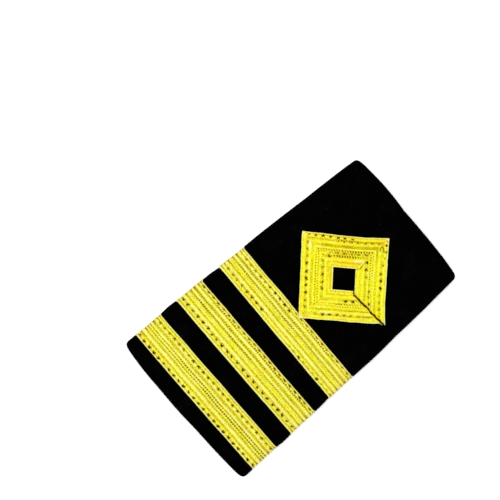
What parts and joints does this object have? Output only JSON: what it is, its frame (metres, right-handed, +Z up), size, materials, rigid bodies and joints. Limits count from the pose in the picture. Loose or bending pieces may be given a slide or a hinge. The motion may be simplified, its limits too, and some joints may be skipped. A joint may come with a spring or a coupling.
{
  "type": "shoulder board",
  "caption": "Slip-on shoulder board of black cloth, arched over a flat back to form a sleeve, with ribbed yellow lace bars and a lace diamond.",
  "frame": {"origin": "middle of the board's underside, on the surface it lies on", "axes": "+X along the board from the wide shoulder end to the narrow collar end, +Y across it, +Z up out of the front"},
  "size_m": [0.1027, 0.0604, 0.0099],
  "materials": {
    "cloth": "napped black wool cloth, matt",
    "back": "plain black twill, matt",
    "lace": "ribbed yellow thread lace with a soft sheen"
  },
  "bodies": {
    "root": {"front_cloth": "cloth", "back_cloth": "back", "outer_lace_bar": "lace", "middle_lace_bar": "lace", "inner_lace_bar": "lace", "lace_diamond": "lace"}
  },
  "joints": []
}
